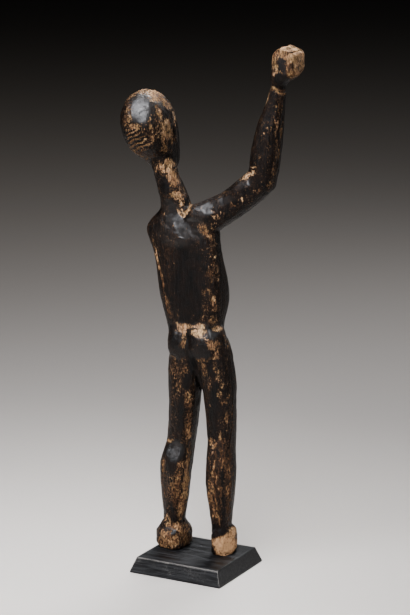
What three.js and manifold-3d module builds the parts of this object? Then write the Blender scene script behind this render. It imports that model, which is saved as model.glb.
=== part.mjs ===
// A carved wooden standing figure with one raised arm, on its low black painted base.
// Millimetres, +Z up. The figure faces -Y, its raised right arm is on -X,
// and the origin is the centre of the base's underside.
import * as THREE from 'three';
import { mergeVertices } from 'three/addons/utils/BufferGeometryUtils.js';
import Module from 'manifold-3d';

const wasm = await Module();
wasm.setup();

// Driving sizes of the base
const baseWidth = 116;
const baseDepth = 106;
const baseHeight = 18;
const baseBevel = 6;
const baseEdge = 2;

// Driving sizes of the figure
const figureHeight = 584;
const seatGap = 0.3;

// The carving keeps its pose and proportions as shares of the figure's own height:
// every number in a row below is in thousandths of figureHeight, above the soles.
const share = figureHeight / 1000;

// A ring of a limb: centre x, y, z, half width, depth behind and in front of the centre,
// and how square its outline is, from 2 for an ellipse to 4 for nearly a box.
const ring = (x, y, z, wide, back, front, square) => [x, y, z, wide, back, front, square];

// The value a fraction t of the way along a row of numbers, on a smooth curve through them all
function smooth(rows, t) {
  const last = rows.length - 1;
  const start = Math.min(Math.floor(t), last - 1);
  const f = t - start;
  const row = (i) => rows[THREE.MathUtils.clamp(i, 0, last)];
  const [a, b, c, d] = [row(start - 1), row(start), row(start + 1), row(start + 2)];
  return b.map((from, k) => {
    const leave = (c[k] - a[k]) / 2;
    const arrive = (d[k] - from) / 2;
    const turn = 2 * from - 2 * c[k] + leave + arrive;
    const bend = 3 * (c[k] - from) - 2 * leave - arrive;
    return from + leave * f + bend * f * f + turn * f * f * f;
  });
}

// The point at an angle on a squared ellipse, as shares of its half width and depth
function squared(angle, square) {
  const c = Math.cos(angle);
  const s = Math.sin(angle);
  const power = 2 / square;
  return [Math.sign(c) * Math.abs(c) ** power, Math.sign(s) * Math.abs(s) ** power];
}

// A closed carved form along rings. Each gap between rings gets some steps, each ring some
// sides, and domes round off the first and last ring by that many half widths. Level rings
// stay flat, the others turn with the limb, and the front may have a rounder outline.
function carve(rings, options = {}) {
  const { sides = 20, steps = 3, domeStart = 0, domeEnd = 0, level = false, roundFront = 0 } = options;
  const spans = (rings.length - 1) * steps;
  const hoops = [];
  for (let i = 0; i <= spans; i += 1) hoops.push(smooth(rings, i / steps));
  const centre = hoops.map(([x, y, z]) => new THREE.Vector3(x, y, z));
  const along = centre.map((_, i) => {
    if (level) return new THREE.Vector3(0, 0, 1);
    const ahead = centre[Math.min(i + 1, spans)];
    return ahead.clone().sub(centre[Math.max(i - 1, 0)]).normalize();
  });
  const placed = hoops.map((hoop, i) => ({ hoop, centre: centre[i], along: along[i], size: 1 }));
  const domeSteps = 3;
  for (const [dome, end, sign] of [[domeStart, 0, -1], [domeEnd, spans, 1]]) {
    for (let j = 1; dome > 0 && j < domeSteps; j += 1) {
      const angle = (j / domeSteps) * (Math.PI / 2);
      const reach = sign * dome * hoops[end][3] * Math.sin(angle);
      const cap = {
        hoop: hoops[end],
        centre: centre[end].clone().addScaledVector(along[end], reach),
        along: along[end],
        size: Math.cos(angle),
      };
      if (sign < 0) placed.unshift(cap);
      else placed.push(cap);
    }
  }
  const points = [];
  for (const { hoop, centre: middle, along: normal, size } of placed) {
    const across = new THREE.Vector3(0, 1, 0).cross(normal).normalize();
    const behind = normal.clone().cross(across);
    for (let j = 0; j < sides; j += 1) {
      const angle = (j / sides) * 2 * Math.PI;
      const inFront = Math.sin(angle) < 0;
      const [u, v] = squared(angle, inFront && roundFront ? roundFront : hoop[6]);
      const depth = inFront ? hoop[5] : hoop[4];
      points.push(middle.clone()
        .addScaledVector(across, u * hoop[3] * size)
        .addScaledVector(behind, v * depth * size));
    }
  }
  const tip = (end, sign, dome) => placed[end].centre.clone().addScaledVector(
    placed[end].along,
    sign * dome * placed[end].hoop[3] * (1 - Math.sin(((domeSteps - 1) / domeSteps) * (Math.PI / 2))),
  );
  points.push(tip(0, -1, domeStart), tip(placed.length - 1, 1, domeEnd));
  return closed(points, placed.length, sides);
}

// Joins hoops of points, then a first and a last tip, into one closed solid
function closed(points, count, sides) {
  const faces = [];
  const first = count * sides;
  for (let j = 0; j < sides; j += 1) {
    const k = (j + 1) % sides;
    for (let i = 0; i < count - 1; i += 1) {
      const low = i * sides;
      const high = low + sides;
      faces.push(low + j, low + k, high + k, low + j, high + k, high + j);
    }
    const top = (count - 1) * sides;
    faces.push(first, k, j, first + 1, top + j, top + k);
  }
  const geometry = new THREE.BufferGeometry();
  geometry.setAttribute('position', new THREE.Float32BufferAttribute(
    points.flatMap((p) => p.toArray()), 3));
  geometry.setIndex(faces);
  return solid(geometry);
}

// A manifold solid of a closed geometry
function solid(geometry) {
  const bare = geometry.clone();
  bare.deleteAttribute('normal');
  bare.deleteAttribute('uv');
  const merged = mergeVertices(bare, 1e-4);
  return new wasm.Manifold(new wasm.Mesh({
    numProp: 3,
    vertProperties: Float32Array.from(merged.attributes.position.array),
    triVerts: Uint32Array.from(merged.index.array),
  }));
}

// An egg of given half sizes, turned by degrees about X, Y and Z and then moved
function egg(at, half, turn = [0, 0, 0], detail = 12) {
  const geometry = new THREE.SphereGeometry(1, detail, Math.round(detail * 0.6));
  geometry.scale(...half);
  for (const [axis, degrees] of [['X', turn[0]], ['Y', turn[1]], ['Z', turn[2]]]) {
    geometry[`rotate${axis}`](THREE.MathUtils.degToRad(degrees));
  }
  geometry.translate(...at);
  return solid(geometry);
}

const joined = (first, ...rest) => rest.reduce((sum, piece) => sum.add(piece), first);

// Trunk from the crotch to the shoulders: a flat back with crisp edges, a full belly,
// and a shallow hollow in the left side where the arm broke away
function trunk() {
  const block = carve([
    ring(-12, -4, 335, 40, 7, 12, 2.4),
    ring(-12, -4, 350, 54, 14, 20, 2.6),
    ring(-12, -3, 372, 60, 25, 32, 2.8),
    ring(-12, -1, 395, 63, 30, 40, 3.0),
    ring(-6, -1, 426, 60, 32, 41, 3.2),
    ring(3, -5, 452, 54, 33, 38, 3.4),
    ring(4, -7, 488, 61, 40, 50, 3.6),
    ring(7, -7, 523, 66, 43, 55, 3.8),
    ring(11, -4, 562, 67, 40, 46, 3.8),
    ring(16, 0, 596, 68, 36, 37, 3.8),
    ring(23, 2, 626, 72, 33, 33, 3.8),
    ring(25, 3, 642, 74, 31, 30, 3.6),
    ring(30, 5, 659, 60, 29, 27, 3.0),
    ring(35, 6, 675, 38, 27, 25, 2.6),
    ring(39, 7, 692, 27, 25, 24, 2.3),
  ], { sides: 26, steps: 2, level: true, roundFront: 2.5 });
  const lostArm = egg([132, -3, 606], [46, 44, 66], [0, 18, 0], 28);
  return block.subtract(lostArm);
}

// One half of the seat, from its outer side to just past the slanted cleft: full and rounded
// below, with a sloping shelf on top at the waist
function seatHalf(outer) {
  const row = (y, z, fill, back, front, square) => {
    const cleft = 3 + 0.28 * (z - 428);
    const inner = cleft - 6 * Math.sign(outer);
    return ring((outer + inner) / 2, y, z, (Math.abs(outer - inner) / 2) * fill, back, front, square);
  };
  return carve([
    row(3, 386, 0.78, 20, 14, 2.6),
    row(7, 397, 0.93, 27, 20, 2.7),
    row(9, 411, 1.0, 29, 22, 2.7),
    row(10, 428, 1.0, 29, 22, 2.7),
    row(6, 444, 0.98, 26, 20, 2.7),
    row(0, 458, 0.84, 23, 16, 2.7),
  ], { sides: 18, steps: 1, level: true });
}

function seat() {
  return joined(seatHalf(51), seatHalf(-64));
}

function navel() {
  return egg([5, -58, 494], [7, 8, 7], [0, 0, 0], 10);
}

// The long neck, leaning to the left and back
function neck() {
  return carve([
    ring(30, 4, 650, 30, 27, 26, 2.3),
    ring(38, 7, 682, 29, 27, 27, 2.3),
    ring(44, 10, 707, 26, 26, 26, 2.2),
    ring(52, 14, 734, 23, 24, 24, 2.2),
    ring(58, 17, 759, 23, 24, 24, 2.2),
    ring(66, 20, 795, 24, 26, 26, 2.2),
  ], { sides: 18, steps: 2 });
}

// Where the head sits and how it is tilted back and to the left, in degrees
const headCentre = [81, 32, 838];
const headTiltBack = 3;
const headTiltLeft = 8;

// The head upright about its own centre, face towards -Y
function skull() {
  return carve([
    ring(0, -42, -97, 12, 11, 11, 2.2),
    ring(0, -38, -86, 21, 20, 20, 2.3),
    ring(0, -32, -74, 28, 29, 28, 2.4),
    ring(0, -21, -58, 35, 37, 39, 2.4),
    ring(0, -8, -38, 42, 51, 51, 2.4),
    ring(0, -1, -10, 47, 61, 57, 2.3),
    ring(0, 1, 16, 47, 63, 54, 2.3),
    ring(0, 1, 40, 42, 57, 46, 2.2),
    ring(0, 2, 57, 31, 43, 33, 2.1),
    ring(0, 3, 66, 20, 28, 21, 2.0),
    ring(0, 3, 70, 10, 14, 11, 2.0),
  ], { sides: 24, steps: 2, level: true, domeEnd: 0.15 });
}

// Heart-shaped face plane under a brow, with eyes, nose and mouth, all plain and calm
function face(skullShape) {
  const sockets = [-1, 1].map((side) => egg([side * 20, -71, -17], [24, 21, 34], [5, 0, side * 10], 18));
  const nose = carve([
    ring(0, -52, -34, 7, 10, 7, 2.4),
    ring(0, -53, -27, 10, 12, 14, 2.4),
    ring(0, -53, -12, 7, 12, 11, 2.2),
    ring(0, -53, 6, 5, 10, 7, 2.2),
    ring(0, -52, 20, 4, 8, 3, 2.2),
  ], { sides: 10, steps: 1, level: true });
  const eyes = [-1, 1].map((side) => egg([side * 18.5, -46.5, -8], [12, 8, 5.5], [0, 0, side * 18], 12));
  const lips = egg([0, -49, -52], [14, 14, 9], [12, 0, 0], 14);
  const mouth = egg([0, -64, -53], [14, 9, 1.3], [6, 0, 0], 10);
  return joined(skullShape.subtract(joined(...sockets)), nose, ...eyes, lips).subtract(mouth);
}

// An ear: a long low upright ridge on the side of the head, hollow in front
function ear(side) {
  const outer = egg([side * 45, -12, -12], [6, 10, 27], [8, 0, 0], 14);
  const hollow = egg([side * 52, -17, -12], [6, 7, 18], [8, 0, 0], 10);
  return outer.subtract(hollow);
}

function head() {
  const whole = joined(face(skull()), ear(-1), ear(1));
  return whole.rotate([-headTiltBack, 0, 0]).rotate([0, headTiltLeft, 0]).translate(headCentre);
}

// The raised right arm: upper arm out and up, forearm almost upright
function upperArm() {
  return carve([
    ring(16, 3, 641, 40, 32, 31, 3.8),
    ring(-12, 2, 660, 35, 33, 32, 3.6),
    ring(-42, 0, 677, 31, 31, 31, 2.9),
    ring(-75, -3, 696, 29, 28, 28, 2.4),
    ring(-114, -5, 727, 29.5, 28, 28, 2.3),
    ring(-134, -6, 743, 28, 27, 27, 2.2),
  ], { sides: 20, steps: 2, domeEnd: 0.7 });
}

function foreArm() {
  return carve([
    ring(-135, -6, 738, 27, 27, 27, 2.2),
    ring(-140, -7, 768, 27.5, 28, 28, 2.3),
    ring(-144, -8, 802, 28, 28, 28, 2.3),
    ring(-150, -9, 838, 25.5, 26, 26, 2.3),
    ring(-156, -10, 866, 21, 22, 22, 2.3),
    ring(-163, -10, 895, 17, 18, 18, 2.3),
    ring(-166, -10, 912, 16, 16, 16, 2.2),
  ], { sides: 20, steps: 2, domeStart: 0.6 });
}

// The closed hand on its narrow wrist: a block cut off flat along the knuckles, which slope
// down outwards, with grooves between the fingers, the thumb across them in front, and a
// shallow dish in the back of the hand
const fingers = 4;
const fingerPitch = 11.5;

function fist() {
  const block = carve([
    ring(-166, -10, 903, 12, 13, 13, 2.2),
    ring(-166, -10, 922, 12.5, 14, 14, 2.3),
    ring(-170, -11, 931, 17, 19, 19, 2.6),
    ring(-178, -13, 940, 23.5, 25, 27, 2.9),
    ring(-182, -14, 952, 26.5, 26, 30, 3.2),
    ring(-183, -14, 970, 27, 26, 31, 3.4),
    ring(-183, -15, 988, 26, 24, 30, 3.4),
    ring(-182, -16, 997, 22, 19, 27, 3.2),
  ], { sides: 24, steps: 1, level: true });
  const outer = facet([-186, -15, 992.5], -24);
  const inner = facet([-163, -15, 985], 50);
  const grooves = [];
  for (let i = 1; i < fingers; i += 1) {
    const x = -161 - fingerPitch * i;
    const top = Math.min(997, 992.5 + 0.445 * (x + 186));
    grooves.push(egg([x, -20, top + 1], [2.4, 30, i === 1 ? 7 : 5], [0, 0, 0], 10));
    grooves.push(egg([x, -46, 970], [2.2, 5, 24], [0, 0, 0], 10));
  }
  const thumb = carve([
    ring(-163, -40, 943, 8, 8, 8, 2.2),
    ring(-177, -45, 950, 9, 8, 8, 2.2),
    ring(-193, -45, 956, 8, 8, 8, 2.2),
  ], { sides: 12, steps: 1, domeStart: 0.6, domeEnd: 0.8 });
  const dish = egg([-188, 20, 962], [11, 9, 17], [0, 0, 0], 12);
  return block.subtract(joined(outer, inner, ...grooves)).add(thumb).subtract(dish);
}

// The block of air that leaves a flat cut through a point, turned by degrees about Y
function facet(at, turn) {
  const geometry = new THREE.BoxGeometry(90, 90, 40);
  geometry.translate(0, 0, 20);
  geometry.rotateY(THREE.MathUtils.degToRad(turn));
  geometry.translate(...at);
  return solid(geometry);
}

// The legs, slightly bent at the knee
function leftLeg() {
  return carve([
    ring(17, -3, 412, 32, 28, 28, 2.8),
    ring(20, 0, 385, 35.5, 30, 30, 2.8),
    ring(25.5, -3, 340, 32, 30, 31, 2.6),
    ring(27, -5, 309, 30, 30, 30, 2.6),
    ring(30, -7, 290, 29, 29, 29, 2.6),
    ring(34, -10, 259, 28, 28, 28, 2.6),
    ring(39, -13, 234, 27, 26, 30, 2.6),
    ring(43, -14, 211, 27, 25, 30, 2.6),
    ring(48, -7, 175, 30, 30, 29, 2.6),
    ring(49, -5, 140, 28.5, 29, 28, 2.6),
    ring(51, -7, 94, 24, 24, 24, 2.6),
    ring(54, -9, 60, 20.5, 21, 21, 2.6),
    ring(54, -10, 30, 20, 20, 20, 2.6),
  ], { sides: 16, steps: 2 });
}

function rightLeg() {
  return carve([
    ring(-35, -3, 412, 30, 28, 28, 2.8),
    ring(-39, 0, 385, 37, 30, 30, 2.8),
    ring(-44, -2, 358, 36, 30, 31, 2.6),
    ring(-49, -4, 335, 32, 30, 31, 2.5),
    ring(-49, -5, 319, 30, 30, 30, 2.6),
    ring(-49, -9, 290, 29, 29, 29, 2.6),
    ring(-49, -12, 260, 28, 28, 28, 2.6),
    ring(-48, -15, 233, 26.5, 26, 30, 2.6),
    ring(-48, -13, 208, 26.5, 27, 29, 2.6),
    ring(-49, -9, 160, 28.5, 29, 28, 2.6),
    ring(-49, -9, 130, 27, 28, 27, 2.6),
    ring(-48, -14, 89, 22, 23, 23, 2.6),
    ring(-47, -17, 60, 19, 20, 20, 2.6),
    ring(-47, -18, 25, 17, 18, 18, 2.6),
  ], { sides: 16, steps: 2 });
}

// The left foot is a faceted lump with a blunt low toe end, the right one is smaller,
// with a square heel block of bare wood
function leftFoot() {
  const heel = carve([
    ring(58, -15, 0, 26, 30, 31, 3.2),
    ring(59, -17, 10, 31, 36, 36, 3.2),
    ring(59, -17, 34, 32, 37, 37, 3.0),
    ring(56, -13, 50, 24, 28, 26, 2.8),
    ring(54, -10, 62, 19, 20, 19, 2.6),
  ], { sides: 12, steps: 1, level: true });
  const toes = carve([
    ring(62, -44, 0, 21, 22, 26, 2.8),
    ring(62, -44, 15, 23, 24, 29, 2.8),
    ring(61, -40, 29, 20, 22, 23, 2.6),
    ring(60, -35, 40, 14, 16, 13, 2.4),
  ], { sides: 12, steps: 1, level: true });
  return heel.add(toes);
}

function rightFoot() {
  const heel = carve([
    ring(-49, -21, 0, 18, 25, 30, 3.2),
    ring(-49, -22, 8, 20, 28, 33, 3.2),
    ring(-50, -21, 34, 21, 28, 30, 3.3),
    ring(-51, -20, 48, 21, 26, 25, 3.3),
    ring(-50.5, -19, 57, 17, 20, 19, 3.0),
  ], { sides: 16, steps: 1, level: true });
  const toes = carve([
    ring(-45, -46, 0, 14, 16, 22, 2.8),
    ring(-45, -46, 13, 16, 18, 24, 2.8),
    ring(-46, -42, 26, 14, 16, 18, 2.6),
    ring(-47, -37, 35, 10, 12, 10, 2.4),
  ], { sides: 12, steps: 1, level: true });
  return heel.add(toes);
}

// The geometry of a finished solid, in millimetres
function geometryOf(piece, scale) {
  const { vertProperties, triVerts, numProp } = piece.getMesh();
  const geometry = new THREE.BufferGeometry();
  const positions = Float32Array.from(vertProperties, (v) => v * scale);
  geometry.setAttribute('position', new THREE.BufferAttribute(positions, numProp));
  geometry.setIndex(new THREE.BufferAttribute(triVerts, 1));
  return geometry;
}

function figure() {
  const body = joined(trunk(), seat(), navel(), leftLeg(), rightLeg(), neck(), upperArm(), foreArm());
  const whole = joined(body, head(), fist(), leftFoot(), rightFoot());
  const material = new THREE.MeshStandardMaterial({ color: 0x2a201a, roughness: 0.45, metalness: 0 });
  const mesh = new THREE.Mesh(geometryOf(whole, share), material);
  mesh.name = 'figure';
  mesh.position.z = baseHeight + seatGap;
  return mesh;
}

// A low four-sided block: an upright edge below, then sloping sides up to the top
function base() {
  const shape = (inset) => [
    [-baseWidth / 2 + inset, -baseDepth / 2 + inset],
    [baseWidth / 2 - inset, -baseDepth / 2 + inset],
    [baseWidth / 2 - inset, baseDepth / 2 - inset],
    [-baseWidth / 2 + inset, baseDepth / 2 - inset],
  ];
  const levels = [[0, 0], [baseEdge, 0], [baseHeight, baseBevel]];
  const points = levels.flatMap(([z, inset]) => shape(inset).map(([x, y]) => new THREE.Vector3(x, y, z)));
  points.push(new THREE.Vector3(0, 0, 0), new THREE.Vector3(0, 0, baseHeight));
  const material = new THREE.MeshStandardMaterial({ color: 0x232427, roughness: 0.6, metalness: 0 });
  const mesh = new THREE.Mesh(geometryOf(closed(points, levels.length, 4), 1), material);
  mesh.name = 'base';
  return mesh;
}

const part = new THREE.Group();
part.add(base(), figure());

export default part;
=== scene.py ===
"""A carved wooden standing figure with one raised arm, on a low black painted base.

The figure starts as a copy of the CAD solid. It is remeshed finely, its joints are eased
into each other, and then it is carved: adze facets, grain lines, grooves, eyelids and the
thin step where the dark patina has worn off the wood. All lengths in the carving are in
millimetres, in the part's own frame.
"""

import math

import bmesh
import bpy
import numpy as np
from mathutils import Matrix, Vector


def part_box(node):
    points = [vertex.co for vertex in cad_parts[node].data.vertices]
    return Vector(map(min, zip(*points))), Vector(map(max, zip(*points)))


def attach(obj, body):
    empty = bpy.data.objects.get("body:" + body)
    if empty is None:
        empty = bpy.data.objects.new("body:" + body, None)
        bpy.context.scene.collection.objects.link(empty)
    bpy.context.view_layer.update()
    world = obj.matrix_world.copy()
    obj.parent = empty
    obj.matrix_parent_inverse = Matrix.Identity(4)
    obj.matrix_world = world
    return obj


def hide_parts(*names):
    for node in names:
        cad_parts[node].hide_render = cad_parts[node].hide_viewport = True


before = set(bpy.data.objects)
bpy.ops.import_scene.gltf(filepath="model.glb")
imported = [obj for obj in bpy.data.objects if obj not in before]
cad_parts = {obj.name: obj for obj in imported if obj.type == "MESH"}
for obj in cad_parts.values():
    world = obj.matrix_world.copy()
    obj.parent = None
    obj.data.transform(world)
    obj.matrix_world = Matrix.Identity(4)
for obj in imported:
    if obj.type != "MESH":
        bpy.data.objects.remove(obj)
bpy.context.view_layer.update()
BASE_LOW, BASE_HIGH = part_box("base")
FIGURE_LOW, FIGURE_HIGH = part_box("figure")

bl_info = {
    "name": "Carved figure on a painted base",
    "version": (1, 0, 0),
    "blender": (4, 5, 0),
    "location": "View3D > Sidebar > Figure",
    "description": "A carved standing figure with a worn dark patina, and its base",
    "category": "Object",
}

MM = 0.001


def linear(hex_colour):
    """Linear RGBA of an sRGB hex colour."""
    channels = [int(hex_colour[i : i + 2], 16) / 255 for i in (1, 3, 5)]
    bent = [c / 12.92 if c <= 0.04045 else ((c + 0.055) / 1.055) ** 2.4 for c in channels]
    return (*bent, 1.0)


# Sizes and colours that a user would change


def colour_value(name, description, hex_colour):
    return bpy.props.FloatVectorProperty(
        name=name,
        description=description,
        subtype="COLOR",
        size=4,
        min=0,
        max=1,
        default=linear(hex_colour),
    )


def length_value(name, description, metres):
    return bpy.props.FloatProperty(
        name=name, description=description, unit="LENGTH", subtype="DISTANCE", min=0, default=metres
    )


def power_value(name, description, watts):
    return bpy.props.FloatProperty(
        name=name, description=description, unit="POWER", min=0, default=watts
    )


class FigureSettings(bpy.types.PropertyGroup):
    mesh_size: length_value("Mesh size", "Spacing of the carved surface's points", 0.00088)
    facet_width: length_value("Facet width", "Width of one adze facet", 0.010)
    facet_length: length_value("Facet length", "Length of one adze facet along the grain", 0.026)
    patina_depth: length_value("Patina depth", "Step down from the patina to worn wood", 0.00035)
    face_budget: bpy.props.IntProperty(
        name="Triangles",
        description="Most triangles of the finished figure",
        min=1000,
        default=192000,
    )
    patina: colour_value("Patina", "Near black oiled patina", "#060606")
    patina_brown: colour_value("Thin patina", "Patina rubbed thin to a dark brown", "#120b08")
    bare_dark: colour_value("Stained wood", "Wood just under the patina", "#2f2015")
    bare_rust: colour_value("Rusty wood", "Worn wood still red with oil", "#5f4430")
    bare_golden: colour_value("Worn wood", "Worn golden wood", "#8f7253")
    bare_pale: colour_value("Pale wood", "Pale wood rubbed bare", "#cfae8b")
    bare_fresh: colour_value("Fresh wood", "Wood broken open, still warm", "#b58c64")


class BaseSettings(bpy.types.PropertyGroup):
    edge_round: length_value("Edge rounding", "Radius of the base's worn edges", 0.0005)
    paint: colour_value("Paint", "Charcoal black brushed paint", "#050506")
    paint_light: colour_value("Brush streaks", "Lighter streaks of the paint", "#2c2d2f")
    worn: colour_value("Worn edge", "Grey worn line along the edges", "#5d5b58")


class StageSettings(bpy.types.PropertyGroup):
    floor: colour_value("Floor", "Pale studio floor", "#bab5b0")
    key_power: power_value("Key light", "Power of the large softbox over the camera", 19.5)
    top_power: power_value("Top light", "Power of the softbox high over the floor", 28)
    low_power: power_value("Low light", "Power of the small softbox on the floor by the base", 4.5)
    fill_power: power_value("Fill light", "Power of the softbox far in front", 7)
    face_power: power_value("Face light", "Power of the high softbox on the front", 4)


# The photograph's camera, also used to place marks seen from it: its place in millimetres,
# how far it looks down, its turn, its focus in pixels and its sensor in millimetres

PHOTO_SIZE = (410, 615)
CAMERA_AT = Vector((-1043.0, 1924.5, 770.2))
CAMERA_PITCH = math.radians(12.0)
CAMERA_TURN = math.radians(208.2)
CAMERA_FOCUS = 2000.0
SENSOR = 36.0
# The large softbox over the camera, in millimetres
KEY_AT = Vector((50.0, 870.0, 1380.0))


def seen_at(points):
    """Where points fall in the photograph's frame, in its pixels, and the way it looks."""
    ahead = np.array(
        [
            -math.sin(CAMERA_TURN) * math.cos(CAMERA_PITCH),
            math.cos(CAMERA_TURN) * math.cos(CAMERA_PITCH),
            -math.sin(CAMERA_PITCH),
        ]
    )
    right = np.array([math.cos(CAMERA_TURN), math.sin(CAMERA_TURN), 0.0])
    up = np.cross(right, ahead)
    away = points - np.array(CAMERA_AT)
    depth = away @ ahead
    across = PHOTO_SIZE[0] / 2 + CAMERA_FOCUS * (away @ right) / depth
    down = PHOTO_SIZE[1] / 2 - CAMERA_FOCUS * (away @ up) / depth
    return across, down, ahead


# Noise and cells in space, repeatable for a seed: the factors and shifts that mix a cell's
# whole numbers, the bits that are kept, and how many cells fit along each axis

CELL_FACTORS = (73856093, 19349663, 83492791)
SEED_FACTOR = 668265263
MIXING = ((15, 2246822519), (13, 3266489917))
KEPT_BITS = 0xFFFFFFFF
DRAWN_BITS = 0xFFFFFF
CELLS = 1024


def scatter(cells, seed):
    """A repeatable number from 0 to 1 for each whole-numbered cell."""
    x, y, z = (cells[:, k] * CELL_FACTORS[k] for k in range(3))
    mixed = (x ^ y ^ z ^ seed * SEED_FACTOR) & KEPT_BITS
    for shift, factor in MIXING:
        mixed = (mixed ^ (mixed >> shift)) * factor & KEPT_BITS
    return ((mixed ^ (mixed >> 16)) & DRAWN_BITS) / DRAWN_BITS


def noise(points, size, seed):
    """Smooth noise from -1 to 1 with lumps of a size, or of three sizes, in millimetres."""
    place = points / np.asarray(size, float)
    cell = np.floor(place).astype(np.int64)
    part = step_up(0, 1, place - cell)
    total = np.zeros(len(points))
    for corner in np.ndindex(2, 2, 2):
        weight = np.prod(np.where(corner, part, 1 - part), axis=1)
        total += weight * scatter(cell + np.array(corner), seed)
    return 2 * total - 1


def rough(points, size, seed, layers=4):
    """Noise with finer and weaker layers on top, from about -1 to 1."""
    size = np.asarray(size, float)
    total = np.zeros(len(points))
    for layer in range(layers):
        total += noise(points, size / 2**layer, seed + 17 * layer) / 2**layer
    return total / 1.4


def nearest_seed(points, size, seed):
    """A whole number for the scattered seed that is nearest to each point."""
    place = points / np.asarray(size, float)
    cell = np.floor(place).astype(np.int64)
    best = np.full(len(points), np.inf)
    owner = np.zeros(len(points), np.int64)
    for step in np.ndindex(3, 3, 3):
        near = cell + np.array(step) - 1
        at = near + np.stack([scatter(near, seed + k) for k in range(3)], axis=1)
        far = ((at - place) ** 2).sum(axis=1)
        x, y, z = near.T + CELLS // 2
        key = (x * CELLS + y) * CELLS + z
        closer = far < best
        best = np.where(closer, far, best)
        owner = np.where(closer, key, owner)
    return owner


def step_up(low, high, values):
    """0 at low, 1 at high, and smooth between them. It falls where low is the larger."""
    part = np.clip((values - low) / (high - low), 0, 1)
    return part * part * (3 - 2 * part)


# Meshes and objects

# Loose corners this near in metres are one
MERGE = 1e-6


def add_object(name, data):
    """A new object in the scene."""
    thing = bpy.data.objects.new(name, data)
    bpy.context.scene.collection.objects.link(thing)
    return thing


def merged_block(node, flat_angle=None):
    """An object with a merged copy of a CAD node's mesh. Faces that meet at less than the
    flat angle are made one."""
    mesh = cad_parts[node].data.copy()
    block = bmesh.new()
    block.from_mesh(mesh)
    bmesh.ops.remove_doubles(block, verts=block.verts, dist=MERGE)
    if flat_angle is not None:
        bmesh.ops.dissolve_limit(block, angle_limit=flat_angle, verts=block.verts, edges=block.edges)
    block.to_mesh(mesh)
    block.free()
    return add_object(f"{node}_block", mesh)


def plain_mesh(holder, name):
    """The evaluated mesh of an object, which is then removed."""
    seen = holder.evaluated_get(bpy.context.evaluated_depsgraph_get())
    mesh = bpy.data.meshes.new_from_object(seen)
    mesh.name = name
    bpy.data.objects.remove(holder)
    return mesh


def read_vectors(mesh, name):
    """The vertices' places or normals as an array."""
    flat = np.empty(len(mesh.vertices) * 3, np.float32)
    mesh.vertices.foreach_get(name, flat)
    return flat.reshape(-1, 3).astype(float)


def write_back(mesh, points, layers):
    """Puts points in millimetres and named layers of values into a mesh."""
    mesh.vertices.foreach_set("co", (points * MM).astype(np.float32).ravel())
    for name, values in layers.items():
        layer = mesh.attributes.new(name, "FLOAT", "POINT")
        layer.data.foreach_set("value", values.astype(np.float32))
    mesh.update()


def shade_smooth(mesh):
    mesh.polygons.foreach_set("use_smooth", [True] * len(mesh.polygons))


class Carving:
    """The figure's fine mesh as arrays, in millimetres, with what carving it needs."""

    # A pull towards the neighbours and a slightly stronger push back, which keeps the form
    EASING = (0.6, -0.62)
    # A patch is left where its normals' mean is shorter than this, because it bends too much
    # for a plane. A facet cuts so deep at most.
    CLEAR_FACING = 0.72
    DEEPEST_FACET = 1.2

    def __init__(self, mesh):
        self.points = read_vectors(mesh, "co") / MM
        ends = np.empty(len(mesh.edges) * 2, np.int32)
        mesh.edges.foreach_get("vertices", ends)
        self.starts, self.stops = ends.reshape(-1, 2).T
        self.links = self.total(np.ones(len(self.starts)), np.ones(len(self.starts)))
        corners = np.empty(len(mesh.loops), np.int32)
        mesh.loops.foreach_get("vertex_index", corners)
        self.quads = corners.reshape(-1, 4)

    def total(self, from_stops, from_starts):
        """The sum over each point's neighbours."""
        count = len(self.points)
        total = np.bincount(self.starts, from_stops, count)
        return total + np.bincount(self.stops, from_starts, count)

    def around(self, values):
        """The mean of each point's neighbours."""
        if values.ndim == 1:
            return self.total(values[self.stops], values[self.starts]) / self.links
        return np.stack([self.around(values[:, k]) for k in range(values.shape[1])], axis=1)

    def normals(self):
        """The way each point faces."""
        a, b, c, d = (self.points[self.quads[:, k]] for k in range(4))
        face = np.cross(c - a, d - b)
        total = np.zeros_like(self.points)
        for k in range(3):
            for corner in range(4):
                total[:, k] += np.bincount(self.quads[:, corner], face[:, k], len(self.points))
        return total / np.maximum(np.linalg.norm(total, axis=1, keepdims=True), 1e-12)

    def ease(self, times, amount):
        """Smooths where amount is near 1, without shrinking the form."""
        for _ in range(times):
            for pull in self.EASING:
                self.points += pull * amount[:, None] * (self.around(self.points) - self.points)

    def push(self, distance):
        """Moves each point out along its normal."""
        self.points += self.normals() * distance[:, None]

    def bend(self, times):
        """How far each point stands proud of its surroundings, in millimetres."""
        calm = self.points
        for _ in range(times):
            calm = (calm + self.around(calm)) / 2
        return ((self.points - calm) * self.normals()).sum(axis=1)

    def facet(self, size, seed, amount):
        """Flattens patches of the surface towards planes, as adze or knife cuts leave them."""
        owner = nearest_seed(self.points, size, seed)
        _, patch, counts = np.unique(owner, return_inverse=True, return_counts=True)
        normals = self.normals()
        middle = np.stack([np.bincount(patch, self.points[:, k]) for k in range(3)], axis=1)
        middle /= counts[:, None]
        facing = np.stack([np.bincount(patch, normals[:, k]) for k in range(3)], axis=1)
        facing /= counts[:, None]
        clear = np.linalg.norm(facing, axis=1)
        facing /= np.maximum(clear, 1e-6)[:, None]
        height = ((self.points - middle[patch]) * facing[patch]).sum(axis=1)
        height = np.clip(height, -self.DEEPEST_FACET, self.DEEPEST_FACET)
        agree = np.clip((normals * facing[patch]).sum(axis=1), 0, 1) ** 2
        moved = height * amount * agree * (clear[patch] > self.CLEAR_FACING)
        self.points -= facing[patch] * moved[:, None]


# The figure's proportions, as thousandths of its height above the soles. The fist's top is
# a little below 1000. Then the head's middle, how far it tilts back and to the left, and the
# half sizes of the space around it.

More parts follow.
